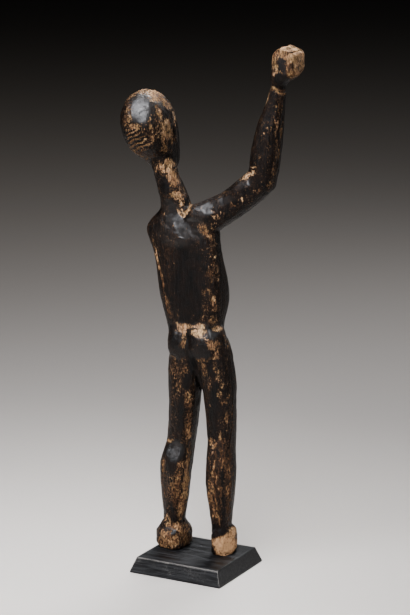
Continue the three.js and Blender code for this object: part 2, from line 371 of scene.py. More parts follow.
FIST_TOP = 996.7
WRIST = 920
SEAT = 380
KNEE = 240
ANKLE = 66
SOLES = FIGURE_LOW.z / MM
SHARE = (FIGURE_HIGH.z - FIGURE_LOW.z) / MM / FIST_TOP
HEAD_AT = np.array([81, 32, 838]) * SHARE + np.array([0, 0, SOLES])
HEAD_BACK = math.radians(3)
HEAD_LEFT = math.radians(8)
HEAD_HALF = (75, 90, 110)


def in_head(points):
    """Points in the head's own upright frame, in thousandths of the figure's height."""
    x, y, z = (points - HEAD_AT).T / SHARE
    x, z = (
        x * math.cos(HEAD_LEFT) - z * math.sin(HEAD_LEFT),
        x * math.sin(HEAD_LEFT) + z * math.cos(HEAD_LEFT),
    )
    y, z = (
        y * math.cos(HEAD_BACK) - z * math.sin(HEAD_BACK),
        y * math.sin(HEAD_BACK) + z * math.cos(HEAD_BACK),
    )
    return np.stack([x, y, z], axis=1)


def blob(values, half):
    """1 in the middle of an ellipse or ellipsoid, 0 outside it, and smooth between."""
    far = sum((v / h) ** 2 for v, h in zip(values, half))
    return step_up(0, 1, 1 - far)


# Worn places seen from the photograph's side, in its pixels: across, down, half width, half
# height, lean in degrees, and in percent how bare (below 0 keeps the patina) and how pale and
# warm the wood is. Three of the pale marks also paint highlights and sheen on polished places;
# each is noted where it stands

PHOTO_MARKS = [
    # head
    (133, 94, 8, 2.5, -30, 62, 55),
    (148, 91, 10, 3.8, 4, 88, 60),
    (157, 95.5, 8, 4.6, 30, 85, 62),
    (166, 103, 3.4, 8, -26, 80, 55),
    (152, 99.5, 9, 2.4, 12, 60, 55),
    (158.5, 112, 2.4, 8, -14, 72, 62),
    (151, 108, 4.5, 5, 0, 34, 40),
    (150, 119, 2.2, 8, 0, 42, 50),
    (164, 133, 2.6, 12, 0, 78, 52),
    (168.7, 132, 2.2, 9, 6, 66, 78),
    (172, 137, 1.7, 8.5, -3, 95, 70),
    (174, 118, 1.6, 9, -10, 75, 70),
    (168.5, 122, 3.2, 6, 0, 50, 50),
    (127, 112, 3.2, 13, 6, 45, 45),
    (131, 112, 2.6, 8, 0, 50, 55),
    (134.5, 126, 5.2, 3.6, 0, 110, 72),
    (139, 140, 12.5, 12, 0, 66, 50),
    (147.5, 144, 1.5, 1.3, 0, 90, 100),
    (151.5, 134, 2.4, 10, -6, 42, 45),
    (165.5, 149, 4, 4, 0, 45, 42),
    (142, 109, 10, 12, 0, -120, 50),
    (155.5, 122, 3.4, 5, 0, -40, 50),
    (163, 128, 6, 22, -6, 34, 66),
    (136, 150, 9, 8, 30, 42, 50),
    (128, 130, 4, 12, -10, 36, 45),
    (165.5, 112, 3, 4.6, -10, -80, 50),
    (157.5, 141, 4, 12, 6, -20, 50),
    (156, 128, 5, 14, 0, 30, 60),
    (149, 158, 13, 6, 24, 34, 6),
    (125, 138, 2.4, 12, -14, -50, 50),
    (148, 125, 24, 40, -8, 10, 50),
    # neck and shoulders
    (170, 162, 6, 4, 0, 72, 52),
    (163, 166, 8, 7, 0, 55, 55),
    (174, 168, 5, 8, -10, 40, 60),
    (162, 170, 2.4, 6, -8, 75, 58),
    (156.5, 171, 1.4, 4, -8, 40, 50),
    (171.5, 177, 4.4, 9, -14, 98, 62),
    (172, 182, 7, 18, -14, 40, 62),
    (178, 179, 3, 9, -12, 60, 50),
    (165.5, 186, 3, 8, -8, -130, 50),
    (170, 195, 2, 3, 0, 70, 62),
    (177.5, 196.5, 6, 4.6, 18, 95, 66),
    (184, 192, 2.4, 6, -16, 55, 50),
    (181, 204, 4, 4, 0, 75, 80),
    (186, 203, 1.1, 5, 8, -120, 50),
    (190, 206, 1.9, 6, 22, 105, 62),
    (184.5, 214, 6, 2, -40, 110, 72),
    (179, 213, 1.8, 5, -32, 90, 66),
    (183, 210.5, 5, 2.4, 0, 75, 58),
    (164.5, 213.5, 3, 2, 0, 50, 50),
    (173, 212, 2.4, 10, -14, -100, 50),
    (185, 221.5, 9, 4, 0, -100, 50),
    # raised arm
    (203.5, 229, 5, 5.5, -30, 95, 42),
    (209, 235, 6, 4, 30, 85, 50),
    (200, 224, 2.6, 2.6, 0, 50, 62),
    (213.5, 230, 3, 2.6, 0, 55, 55),
    (212.5, 211, 2.2, 1.6, 30, 95, 75),
    (216.5, 217, 4.4, 3, 0, 62, 50),
    (221, 213, 1.5, 2, 0, 75, 62),
    (214, 223.5, 5, 1.2, -15, 55, 50),
    (233.5, 207, 4, 1.2, 0, 75, 58),
    (230.8, 205, 1.2, 3, 0, 70, 58),
    (241.5, 199, 1.7, 1.9, 0, 95, 75),
    (258, 191.5, 4.6, 2.6, -15, 64, 50),
    (219, 197, 4, 1.3, -30, 50, 60),
    (225, 192.5, 4, 1.5, -6, 50, 35),
    (248, 175.5, 9, 3, -24, 110, 76),
    (253.5, 168, 2.8, 1.3, 25, 85, 72),
    (276.5, 129, 2.2, 8, 3, 60, 50),
    (276.8, 148, 1.8, 12, 3, 56, 48),
    (274, 169, 2.3, 9, 6, 74, 50),
    (271, 184, 2.8, 6, 18, 56, 45),
    (281.6, 131, 1, 10, 3, 80, 62),
    (279, 150, 1, 10, 6, 66, 56),
    (267, 98, 1, 6.5, 18, 85, 72),
    (280.5, 108, 2.4, 12, 2, 32, 35),
    (272, 122, 4.4, 2.6, 0, 38, 50),
    (276.5, 107, 1.2, 1.6, 0, 90, 75),
    (275.5, 112, 1.1, 1.1, 0, 70, 70),
    (267.5, 127.5, 1.3, 1.1, 0, 85, 70),
    (264.5, 132.5, 1.2, 1.3, 0, 85, 70),
    (277, 90.5, 9, 2.6, 10, 98, 58),
    (273, 88, 3, 2, 0, 40, 75),
    (284, 93, 3, 2.6, 20, 50, 50),
    # hand
    (288, 57, 19, 19, 0, 120, 46),
    (297, 60, 9, 10, 0, 26, 66),
    (283, 47, 6, 4, 0, 50, 90),
    (295, 49, 8, 2, 26, 70, 95),
    (281, 64, 4.6, 7, 0, -105, 30),
    (284, 70, 2.4, 4, 0, -70, 30),
    (281, 79, 6, 5, 0, -140, 30),
    (291, 67, 2, 5, 10, -50, 30),
    (292, 74, 4, 3, -20, 30, 50),
    (275.5, 73, 2.4, 9, 8, 50, 62),
    (295, 76, 6, 4, -30, 70, 50),
    (303, 66, 3, 14, 10, 50, 60),
    # back
    (213, 250, 4.5, 11, 0, 44, 45),
    (216, 245, 1.5, 3, -10, 50, 62),
    (215, 256, 1.7, 1.4, 0, 60, 70),
    (214, 272, 4.6, 12, 0, 56, 40),
    (218, 273, 1.3, 10, -2, 45, 50),
    (209, 278, 3, 8, 0, 40, 38),
    (212, 283, 1.4, 1.5, 0, 70, 78),
    (208.5, 291, 1.9, 3.5, -14, 80, 62),
    (203.5, 292, 2, 3, 10, 70, 60),
    (211.5, 296, 4, 5, 0, 36, 45),
    (214, 303, 2.8, 9, -3, 105, 64),
    (217.5, 308, 2, 5, 0, 62, 50),
    (205, 309, 3, 8, -12, 55, 56),
    (203.5, 317, 3, 3, 0, 60, 60),
    (212, 321, 4.5, 4, 0, 85, 50),
    (178.5, 314, 1.2, 5, -6, 80, 62),
    (194, 316, 2.5, 1.5, 0, 50, 55),
    (171, 316, 3, 7, -16, 52, 42),
    (168, 304, 2, 9, -14, 34, 40),
    (153.5, 243, 1.1, 7, -14, 80, 55),
    (156, 254, 1.2, 6, -14, 80, 58),
    (158.5, 264, 1.2, 8, -10, 100, 60),
    (161.5, 277, 1.3, 10, -12, 85, 52),
    (164.5, 292, 1.1, 12, -13, 66, 38),
    (168, 307, 1.1, 9, -12, 50, 38),
    (170, 258, 9, 18, 0, 20, 10),
    (191.5, 246.5, 1.1, 2.8, 10, 75, 66),
    (204, 250.5, 1.4, 1, 0, 70, 70),
    (206, 259, 1.1, 1.8, 0, 60, 60),
    (208.5, 268, 1, 1.6, 0, 70, 70),
    (187, 285, 14, 38, -4, -50, 50),
    # waist and seat
    (184, 325, 9, 3, 4, 115, 68),
    (182, 329.5, 5.5, 4, 0, 95, 86),
    (199.5, 325, 8.5, 2.6, 0, 105, 70),
    # pale wood on the waist shelf: partly worn wood, partly a painted sheen
    (199, 332.5, 7.5, 6.5, 0, 115, 92),
    (216.5, 328.5, 5.6, 3.3, 6, 105, 72),
    (209.5, 330, 1.4, 6, 0, -50, 40),
    (214, 336, 7, 2.4, -4, -70, 60),
    (206.5, 338.5, 2, 1.1, 0, 90, 90),
    (183.5, 339, 3.2, 11, 4, 85, 52),
    (174, 341, 3.6, 6, 0, -110, 40),
    # painted highlight: a pale speck in the glossy dimple of the left seat half
    (175, 341, 1.1, 2.6, 0, 110, 62),
    (191, 341, 3.8, 5, 0, -120, 40),
    (213, 345, 8, 4.4, 0, 86, 40),
    (216, 354, 4.5, 6, 0, 46, 45),
    (203, 346, 4.5, 3.6, 0, -80, 50),
    (200, 354, 9, 4, 0, -90, 50),
    (180, 354, 8, 4, 0, -80, 50),
    (227, 343, 1.6, 8, -22, 30, 40),
    (180, 358, 8, 3, 0, 40, 45),
    (203, 358.5, 8, 3, 0, 40, 40),
    # thighs and knees
    (172, 358.5, 3.6, 3, 0, 60, 56),
    (175, 369, 6.5, 8, 0, 56, 48),
    (184, 370, 5, 10, 0, 46, 45),
    (179, 386, 3, 7, -12, 52, 52),
    (178, 397, 5, 5, 0, 32, 42),
    (188.5, 399, 4.5, 9, 0, 68, 42),
    (189, 420, 3.5, 16, 0, 62, 36),
    (188, 433, 4.2, 8, 0, 82, 44),
    (194, 387, 1.8, 6, 0, 36, 36),
    (188, 380, 4.5, 8, 0, -60, 50),
    (181, 412, 2.6, 18, 0, -50, 50),
    (194.5, 371, 3, 13, -18, -100, 50),
    (201, 363.5, 5, 4, 20, 50, 50),
    (205, 371, 3.5, 7, -8, 72, 50),
    (210.5, 367, 1.9, 7, 0, -100, 50),
    (212, 359, 5, 2.4, -20, 60, 50),
    (215.5, 367, 2.6, 8, -14, 60, 56),
    (218.5, 379, 3.4, 4.4, -32, 44, 56),
    (209.5, 385, 1.8, 8, 8, 62, 56),
    (222, 386, 1.5, 3.4, -18, 70, 68),
    (215, 386, 3, 3.6, 0, -90, 50),
    (219.5, 395, 2.4, 4, -24, 60, 62),
    (229.5, 395, 2.4, 3.6, 30, 50, 52),
    (222.5, 403, 1.7, 3.6, 8, 62, 40),
    (226.5, 403, 1.3, 3, 0, 55, 62),
    (209.5, 405, 2.2, 2, 30, 65, 62),
    (226.5, 418, 1.7, 7, -5, 80, 60),
    (222.5, 424, 1.3, 3, 0, 50, 60),
    (227.5, 430, 1.5, 4, 0, 42, 50),
    (214, 410, 3.6, 20, 0, -80, 50),
    (220, 436, 1.8, 5, 18, 66, 58),
    (223.5, 441.5, 2.2, 2.6, 30, 55, 52),
    (210.5, 441, 3.4, 3.6, 0, 62, 50),
    (213.5, 446, 3.4, 2.8, -20, 95, 74),
    (219, 441.5, 5, 1.2, -40, 66, 62),
    (211, 441, 1.1, 3.6, 12, 50, 55),
    (233, 430, 1.6, 14, 0, 30, 30),
    # calves
    (170.5, 441.5, 3.6, 2.6, -14, 90, 56),
    (175, 452, 8.5, 9, -10, -130, 50),
    (172, 465, 5, 6, 0, -50, 50),
    (188.5, 455, 2.4, 14, 4, 72, 40),
    (182, 463.5, 4.6, 5, -20, 64, 52),
    (186, 483, 3.3, 14, 4, 105, 50),
    (182.5, 503, 3.3, 10, 8, 95, 48),
    (176, 490, 7, 26, 0, 30, 40),
    (178.5, 482, 2.2, 15, 0, 60, 28),
    (175.3, 492, 1.4, 14, -2, 60, 42),
    (171.3, 487, 1.2, 4, 0, 62, 48),
    (165, 482, 2.8, 22, -4, 36, 22),
    (163.5, 464, 2, 5, 0, 46, 42),
    (173.5, 514, 2.4, 6, 0, -50, 40),
    (167, 519, 3.4, 5, 0, 76, 48),
    (181, 513, 3.2, 8, 3, 76, 48),
    (219, 488, 11, 44, 0, 32, 12),
    (212, 452, 1.5, 3, 0, 45, 60),
    (223.5, 458, 1.2, 12, 10, 76, 45),
    (219.5, 462, 0.9, 12, 8, 50, 30),
    (226.5, 470, 0.9, 14, 2, 50, 24),
    (220.5, 500, 0.9, 16, -4, 50, 26),
    (213.8, 466, 1.1, 7, 10, 60, 50),
    (213.5, 474.5, 2.6, 3.6, -20, 90, 42),
    (216.8, 478, 1.2, 4, 16, 60, 45),
    (229.5, 466, 2.6, 22, 0, 42, 28),
    (227.5, 493, 2.4, 7, -12, 62, 34),
    (220, 488, 3.2, 1.5, -6, 62, 64),
    (222.5, 477, 3.4, 9, 0, -50, 50),
    (211, 487, 2.8, 10, -6, 46, 42),
    (209, 500, 1.5, 8, -8, 50, 40),
    (213, 508, 1.5, 16, -14, 64, 46),
    (217.5, 513, 1.5, 20, -8, 76, 42),
    (222.5, 512, 2.4, 20, 0, -60, 40),
    (228.5, 514, 2.5, 14, 0, 46, 28),
    (212, 516, 1.1, 1.6, 0, 90, 90),
    (215, 531, 2.6, 5, 0, -60, 40),
    # feet
    (164, 541, 6.5, 7, 0, 115, 52),
    (173, 541, 6, 7, 0, 120, 54),
    (178, 527, 5, 5, 0, 100, 42),
    (171, 525, 5, 4, 0, 60, 40),
    # pale warm wood on the left foot's polished facet: partly wear, partly a painted sheen
    (167.5, 533, 4, 3, -30, 50, 74),
    (173, 534, 5, 1.8, -40, -110, 20),
    (186.5, 538, 6, 9, 0, 100, 38),
    (173, 537, 14, 12, 0, 45, 42),
    (187, 526, 4, 5, -30, 50, 40),
    (225, 546, 13, 13, 0, 250, 66),
    (233, 531, 4.5, 5, 0, 130, 60),
    (216, 531.5, 8, 6, 20, -240, 40),
    (212.5, 541.5, 3, 3.4, 0, 90, 60),
    (212.5, 550, 2.2, 6, 0, -160, 30),
]

# Flat cuts and polished places seen from the same side: across, down, half width, half
# height, lean, and in percent how flat and how polished

FLATS = [
    (144, 109, 15, 15, 8, 40, 100),
    (154, 118, 6, 9, 8, 30, 55),
    (173, 215, 9, 13, -30, 70, 100),
    (180, 228, 20, 15, 0, 85, 100),
    (203, 211, 13, 6, -24, 70, 80),
    (222, 202, 12, 4, -24, 40, 45),
    (243, 184, 8, 4, -28, 30, 60),
    (180, 328, 8, 5, 0, 70, 30),
    (200, 331, 10, 7, 4, 80, 50),
    (218, 331, 7, 6, 10, 60, 60),
    (178, 352, 8, 6, 0, 30, 10),
    (200, 352, 10, 6, 0, 35, 10),
    (222, 350, 6, 14, 0, 50, 10),
    (174, 451, 8, 9, -8, 50, 60),
    (216, 455, 9, 12, 4, 30, 10),
    (164, 480, 5, 24, -6, 50, 10),
    (180, 490, 7, 24, 4, 40, 0),
    (222, 492, 7, 26, 4, 40, 0),
    (168, 532, 7, 5, -30, 80, 60),
    (163, 542, 5, 7, 0, 80, 0),
    (173, 542, 6, 7, 0, 80, 0),
    (185, 541, 6, 7, 0, 70, 0),
    (225, 543, 9, 12, 0, 80, 0),
    (281, 66, 7, 12, 6, 50, 10),
    (297, 60, 8, 14, 0, 60, 0),
]

# The same for the side turned away from the photograph, placed in front view: x and z in
# thousandths of the figure's height

FRONT_MARKS = [
    (22, 560, 34, 22, 10, 40, 45),
    (-22, 520, 12, 60, 0, 50, 45),
    (5, 492, 16, 16, 0, 60, 50),
    (50, 590, 12, 50, 8, 45, 45),
    (-5, 448, 40, 7, 0, 55, 50),
    (41, 222, 20, 18, 0, 80, 55),
    (-48, 222, 20, 18, 0, 75, 55),
    (48, 150, 9, 60, 0, 50, 40),
    (-48, 130, 9, 60, 0, 45, 35),
    (28, 320, 12, 60, -8, 40, 40),
    (-50, 330, 12, 60, 0, 45, 40),
    (61, 20, 34, 30, 0, 90, 50),
    (-47, 20, 26, 34, 0, 120, 80),
    (47, 715, 9, 50, 14, 50, 50),
    (0, 640, 30, 14, 30, 50, 40),
    (-95, 715, 34, 9, 36, 45, 50),
    (-143, 800, 9, 60, -6, 45, 50),
    (-182, 965, 44, 48, 0, 130, 95),
]

# A mark fades out towards its edge, so it is drawn this much larger. Wood that no mark
# names has the plain tone.

SOFT_EDGE = 1.35
PLAIN_TONE = 0.45


def leaning(across, down, x, y, wide, high, lean):
    """1 in the middle of a leaning ellipse and 0 outside it."""
    turn = math.radians(lean)
    right = (across - x) * math.cos(turn) + (down - y) * math.sin(turn)
    below = (down - y) * math.cos(turn) - (across - x) * math.sin(turn)
    return blob((right, below), (wide, high))


def marked(across, down, marks, weight):
    """How bare the marks leave the surface, and the tone of its wood."""
    bare = np.zeros(len(across))
    tone = np.full(len(across), PLAIN_TONE)
    for x, y, wide, high, lean, amount, warmth in marks:
        wide, high = wide * SOFT_EDGE, high * SOFT_EDGE
        reach = max(wide, high)
        near = np.flatnonzero((abs(across - x) < reach) & (abs(down - y) < reach) & (weight > 0))
        here = leaning(across[near], down[near], x, y, wide, high, lean) * weight[near]
        bare[near] += amount / 100 * here
        tone[near] += (warmth / 100 - tone[near]) * here
    return bare, tone


# A flat fades out past its half sizes, is pared so deep at most in millimetres, and is
# turned part of the way to where it would shine

FLAT_REACH = 1.5
DEEPEST_FLAT = 4
TURN_TO_SHINE = 0.7


def cut_flats(carving):
    """Pares the flats towards planes and returns how polished each point is. A place that
    shines in the photograph faces half-way between its camera and its large softbox."""
    polish = np.zeros(len(carving.points))
    for x, y, wide, high, lean, flat, shine in FLATS:
        flat, shine = flat / 100, shine / 100
        normals = carving.normals()
        across, down, ahead = seen_at(carving.points)
        behind = step_up(0.05, 0.35, -(normals @ ahead))
        here = leaning(across, down, x, y, wide * FLAT_REACH, high * FLAT_REACH, lean) * behind
        # dull flats are plane over more of their width than polished ones
        here = np.minimum(1, here * (1.8 - shine))
        middle = (carving.points * here[:, None]).sum(axis=0) / here.sum()
        facing = Vector((normals * here[:, None]).sum(axis=0)).normalized()
        at = Vector(middle)
        shines = ((CAMERA_AT - at).normalized() + (KEY_AT - at).normalized()).normalized()
        facing = np.array(facing.lerp(shines, TURN_TO_SHINE * shine).normalized())
        height = np.clip((carving.points - middle) @ facing, -DEEPEST_FLAT, DEEPEST_FLAT)
        carving.points -= np.outer(height * here * flat, facing)
        polish = np.maximum(polish, here * shine)
    return polish


# Flat knife cuts on the closed hand: a point on the cut in thousandths of the figure's height,
# and the way the cut faces. Then the grooves between the fingers over the knuckles: where
# across the hand, half width and depth

HAND_CUTS = [
    ((-186, -15, 990.5), (-0.42, 0.05, 0.9)),
    ((-163, -15, 984), (0.74, 0.1, 0.66)),
    ((-207.5, -15, 975), (-1.0, 0.12, 0.06)),
    ((-156.5, -15, 965), (1.0, 0.2, 0.1)),
    ((-183, 9.5, 970), (-0.12, 1.0, 0.1)),
]
KNUCKLE_GROOVES = [(-174.5, 2.6, 2.4), (-186, 1.8, 1.0), (-197, 1.8, 0.9)]


def pare_hand(carving, in_hand):
    """Takes off what stands beyond the hand's flat cuts, so that they meet in crisp edges."""
    for at, facing in HAND_CUTS:
        facing = np.array(facing) / np.linalg.norm(facing)
        at = np.array(at) * SHARE + np.array([0, 0, SOLES])
        over = (carving.points - at) @ facing
        carving.points -= np.outer(np.maximum(over, 0) * in_hand, facing)


# Lines that the CAD solid leaves out. The eyes, brows and nape are in the head's frame, and
# the cleft's place, lean, half width and ends are in the photograph's pixels

EYE = (18.5, -8.5)
LID_HALF = 11
BROW = (20, 9)
BROW_HALF = (17, 3.6)
NAPE = (4, -20)
NAPE_HALF = (34, 32)
NAPE_PITCH = 8.2
CLEFT_AT = (193, 358)
CLEFT_LEAN = 0.27
CLEFT_HALF = 1.6
CLEFT_TOP = (354, 362)
CLEFT_END = (396, 388)


def face_lines(x, y, z):
    """Cut eyelid lines and raised brows."""
    on_face = step_up(-30, -44, y) * (y < 0)
    cut = np.zeros(len(x))
    for side in (-1, 1):
        u = (x - side * EYE[0]) / LID_HALF
        lid = z - EYE[1] + 1.6 * u * u
        cut -= 0.75 * on_face * step_up(1.5, 0.4, np.abs(lid)) * step_up(1, 0.75, np.abs(u))
        brow = z - BROW[1] + 3.2 * (x * side - 18) ** 2 / 200
        cut += 0.45 * on_face * blob((x - side * BROW[0], brow), BROW_HALF)
    return cut


def nape_grooves(points, x, y, z):
    """Wavy grooves and ridges across the nape."""
    nape = blob((x - NAPE[0], z - NAPE[1]), NAPE_HALF) * step_up(20, 36, y)
    wavy = z + 0.28 * x + 2.2 * noise(points, 7, seed=5) + 0.9 * noise(points, 2.6, seed=6)
    ridges = np.cos(wavy * 2 * math.pi / NAPE_PITCH)
    return nape * (0.55 * ridges - 0.35)


def thigh_cleft(points, normals):
    """How deep the groove is where the thighs meet under the seat."""
    across, down, ahead = seen_at(points)
    aside = (across - CLEFT_AT[0] - CLEFT_LEAN * (down - CLEFT_AT[1])) / CLEFT_HALF
    inside = np.exp(-(aside**2)) * step_up(*CLEFT_TOP, down) * step_up(*CLEFT_END, down)
    return 2.6 * inside * step_up(0.05, 0.3, -(normals @ ahead))


def carve_features(carving):
    """Cuts the lines that the CAD solid leaves out, and returns how far each point moved out
    on the head and between the thighs."""
    points = carving.points
    x, y, z = in_head(points).T
    cut = face_lines(x, y, z)
    cut += nape_grooves(points, x, y, z)
    cut -= thigh_cleft(points, carving.normals())
    hand_x = points[:, 0] / SHARE
    knuckles = step_up(WRIST + 54, WRIST + 64, (points[:, 2] - SOLES) / SHARE)
    grooves = sum(d * np.exp(-(((hand_x - at) / half) ** 2)) for at, half, d in KNUCKLE_GROOVES)
    carving.push(cut - grooves * knuckles)
    return cut


def grain_lines(points):
    """Long fine lines along the grain, from 0 to 1, where the wood has split or been scraped."""
    lines = noise(points, (1.9, 1.9, 34), seed=21)
    broken = noise(points, (9, 9, 40), seed=22)
    return step_up(0.42, 0.72, lines) * step_up(-0.2, 0.4, broken)


# How bare a place can get on the oiled hand, on the oiled left foot and elsewhere. Only the
# right heel is cut to fresh wood. Then how far around an edge is judged, in rounds of
# easing, and how proud of its surroundings a fully rubbed one stands, in millimetres

HAND_MOST = 1.35
FOOT_MOST = 1.2
MOST = 2.2
EDGE_ROUNDS = 24
EDGE_HEIGHT = 0.55


def wear_of(carving, cut):
    """How bare each point is and how warm its wood, from the marks, the edges and chance."""
    points = carving.points
    normals = carving.normals()
    across, down, ahead = seen_at(points)
    across = across + 1.4 * rough(points, (6, 6, 9), seed=34, layers=3)
    down = down + 2.2 * rough(points, (6, 6, 10), seed=35, layers=3)
    behind = step_up(0.0, 0.12, -(normals @ ahead))
    bare, tone = marked(across, down, PHOTO_MARKS, behind)
    heights = (points[:, 2] - SOLES) / SHARE
    front = step_up(0.1, 0.4, -normals[:, 1]) * (1 - behind)
    front_bare, front_tone = marked(points[:, 0] / SHARE, heights, FRONT_MARKS, front)
    aside = (1 - front) * (1 - behind)
    ends = step_up(WRIST + 5, WRIST + 20, heights) + 0.7 * step_up(ANKLE - 6, ANKLE - 30, heights)
    bare += front_bare + aside * ends
    tone = np.where(front > behind, front_tone, tone)
    edges = np.clip(carving.bend(EDGE_ROUNDS) / EDGE_HEIGHT, -0.5, 1.2)
    patches = 0.10 * rough(points, (14, 14, 30), seed=31, layers=3)
    flecks = 0.24 * rough(points, (2.6, 2.6, 4.0), seed=32, layers=2)
    calves = step_up(KNEE + 20, KNEE - 20, heights) * step_up(ANKLE - 6, ANKLE + 14, heights)
    lines = (0.16 + 0.5 * calves) * grain_lines(points)
    legs = 0.04 * step_up(SEAT + 10, SEAT - 30, heights) + 0.08 * calves
    bare = legs + 0.86 * bare + 0.30 * edges + patches + flecks + lines
    bare += np.clip(cut, -1, 0) * 0.9 + np.clip(cut, 0, 1) * 0.6
    tone += 0.25 * rough(points, 12, seed=33, layers=2)
    most = np.where(heights > WRIST, HAND_MOST, MOST)
    most = np.where((heights < ANKLE + 9) & (points[:, 0] > 0), FOOT_MOST, most)
    return np.clip(bare, -0.5, most), np.clip(tone, 0, 1)


# The rounds of easing that blend the limbs into each other at a mesh size in millimetres

BLEND_ROUNDS = 26
BLEND_PITCH = 0.88


def fine_copy(size):
    """A fine closed mesh over the CAD figure."""
    holder = merged_block("figure")
    remesh = holder.modifiers.new("Fine", "REMESH")
    remesh.mode = "VOXEL"
    remesh.voxel_size = size
    return plain_mesh(holder, "figure_fine")


def fine_places(points, heights):
    """How fine the form is at each point, and where the skull, its back, the hand and the
    feet are."""
    x, y, z = in_head(points).T
    in_skull = blob((x, y, z + 5), HEAD_HALF) > 0.02
    face = step_up(-20, -40, y) * in_skull
    ears = step_up(44, 50, np.abs(x)) * in_skull * (np.abs(y + 12) < 16)
    in_hand = step_up(WRIST - 2, WRIST + 12, heights)
    in_feet = step_up(ANKLE, ANKLE - 16, heights)
    fine = np.maximum(np.maximum(face, ears), np.maximum(in_hand, in_feet))
    return fine, in_skull, in_skull & (y > -30), in_hand, in_feet


def carve_figure(settings):
    """The finished figure's mesh."""
    size = settings.mesh_size * 1
    mesh = fine_copy(size)
    carving = Carving(mesh)
    points = carving.points
    heights = (points[:, 2] - SOLES) / SHARE
    fine, in_skull, skull_back, in_hand, in_feet = fine_places(points, heights)
    pitch = size / MM / BLEND_PITCH
    gently = 0.8 - 0.6 * fine
    carving.ease(int(BLEND_ROUNDS / pitch), 1 - 0.93 * fine)
    carving.ease(2, gently)
    polish = cut_flats(carving)
    carving.ease(2, gently)
    # facets on the limbs and trunk, on the back of the head, and on the hand and feet
    wide, long = settings.facet_width / MM, settings.facet_length / MM
    carving.facet((wide, wide, long), 41, (1 - fine) * (1 - in_skull) * 0.36)
    carving.facet((wide * 1.3, wide * 1.3, wide * 1.5), 42, 0.3 * skull_back)
    carving.facet((wide * 1.2, wide * 1.2, wide), 43, 0.3 * in_hand + 0.5 * in_feet)
    pare_hand(carving, in_hand)
    carving.ease(2, gently)
    waves = 0.35 * noise(points, (18, 18, 30), seed=44)
    carving.push(waves + 0.22 * noise(points, (4, 4, 8), seed=45))
    cut = carve_features(carving)
    bare, tone = wear_of(carving, cut)
    step = settings.patina_depth / MM
    pits = step_up(0.35, 0.75, noise(points, (1.5, 1.5, 2.6), seed=46)) * 0.22
    wood = 0.16 * rough(points, (1.6, 1.6, 9), seed=47, layers=2)
    worn = step_up(0.38, 0.72, bare)
    split = np.where(heights < SEAT, 0.42, 0.16) * (1 - fine)
    lines = grain_lines(points) * split
    lumps = 0.14 * noise(points, 2.4, seed=48)
    carving.push(-worn * step - lines - pits * worn + wood * worn + lumps)
    write_back(mesh, carving.points, {"bare": bare, "tone": tone, "polish": polish})
    return thinned(mesh, settings.face_budget)


def thinned(mesh, most):
    """The mesh with at most so many triangles, thinned where it is flattest."""
    triangles = 2 * len(mesh.polygons)
    holder = add_object("figure_thinned", mesh)
    if triangles > most:
        thin = holder.modifiers.new("Thin", "DECIMATE")
        thin.ratio = most / triangles
    done = plain_mesh(holder, "carved_figure")
    bpy.data.meshes.remove(mesh)
    shade_smooth(done)
    return done


# Materials


def add_node(tree, kind, links=None, out=0, stops=(), **settings):
    """Adds a shader node of a kind, sets its properties and colour stops, sets the inputs whose
    number or name stands after in_, links others, and returns one of its outputs, if any."""
    node = tree.nodes.new(f"ShaderNode{kind}")
    for name, value in settings.items():
        if name.startswith("in_"):
            key = name[3:]
            node.inputs[int(key) if key.isdigit() else key.replace("_", " ")].default_value = value
        else:
            setattr(node, name, value)
    for _ in range(len(stops) - 2):
        node.color_ramp.elements.new(0.5)
    for k, (place, colour) in enumerate(stops):
        node.color_ramp.elements[k].position = place
        node.color_ramp.elements[k].color = colour
    for key, source in (links or {}).items():
        tree.links.new(source, node.inputs[key])
    return node.outputs[out] if node.outputs else None


def new_material(name):
    material = bpy.data.materials.new(name)
    material.use_nodes = True
    material.node_tree.nodes.clear()
    return material, material.node_tree


def grey(value):
    return (value, value, value, 1)


def per_metre(millimetres):
    """The scale of a pattern whose lumps have a size. Sizes have four decimals, because the
    flecks were matched to the photograph where they fall."""
    return 1 / (millimetres * MM)


def add_up(tree, total, layers, number=0):
    """Adds layers to a value, each times its amount, and then a number."""
    for layer, amount in layers:
        total = add_node(tree, "Math", {0: layer, 2: total}, operation="MULTIPLY_ADD", in_1=amount)
    if number:
        total = add_node(tree, "Math", {0: total}, operation="ADD", in_1=number)
    return total


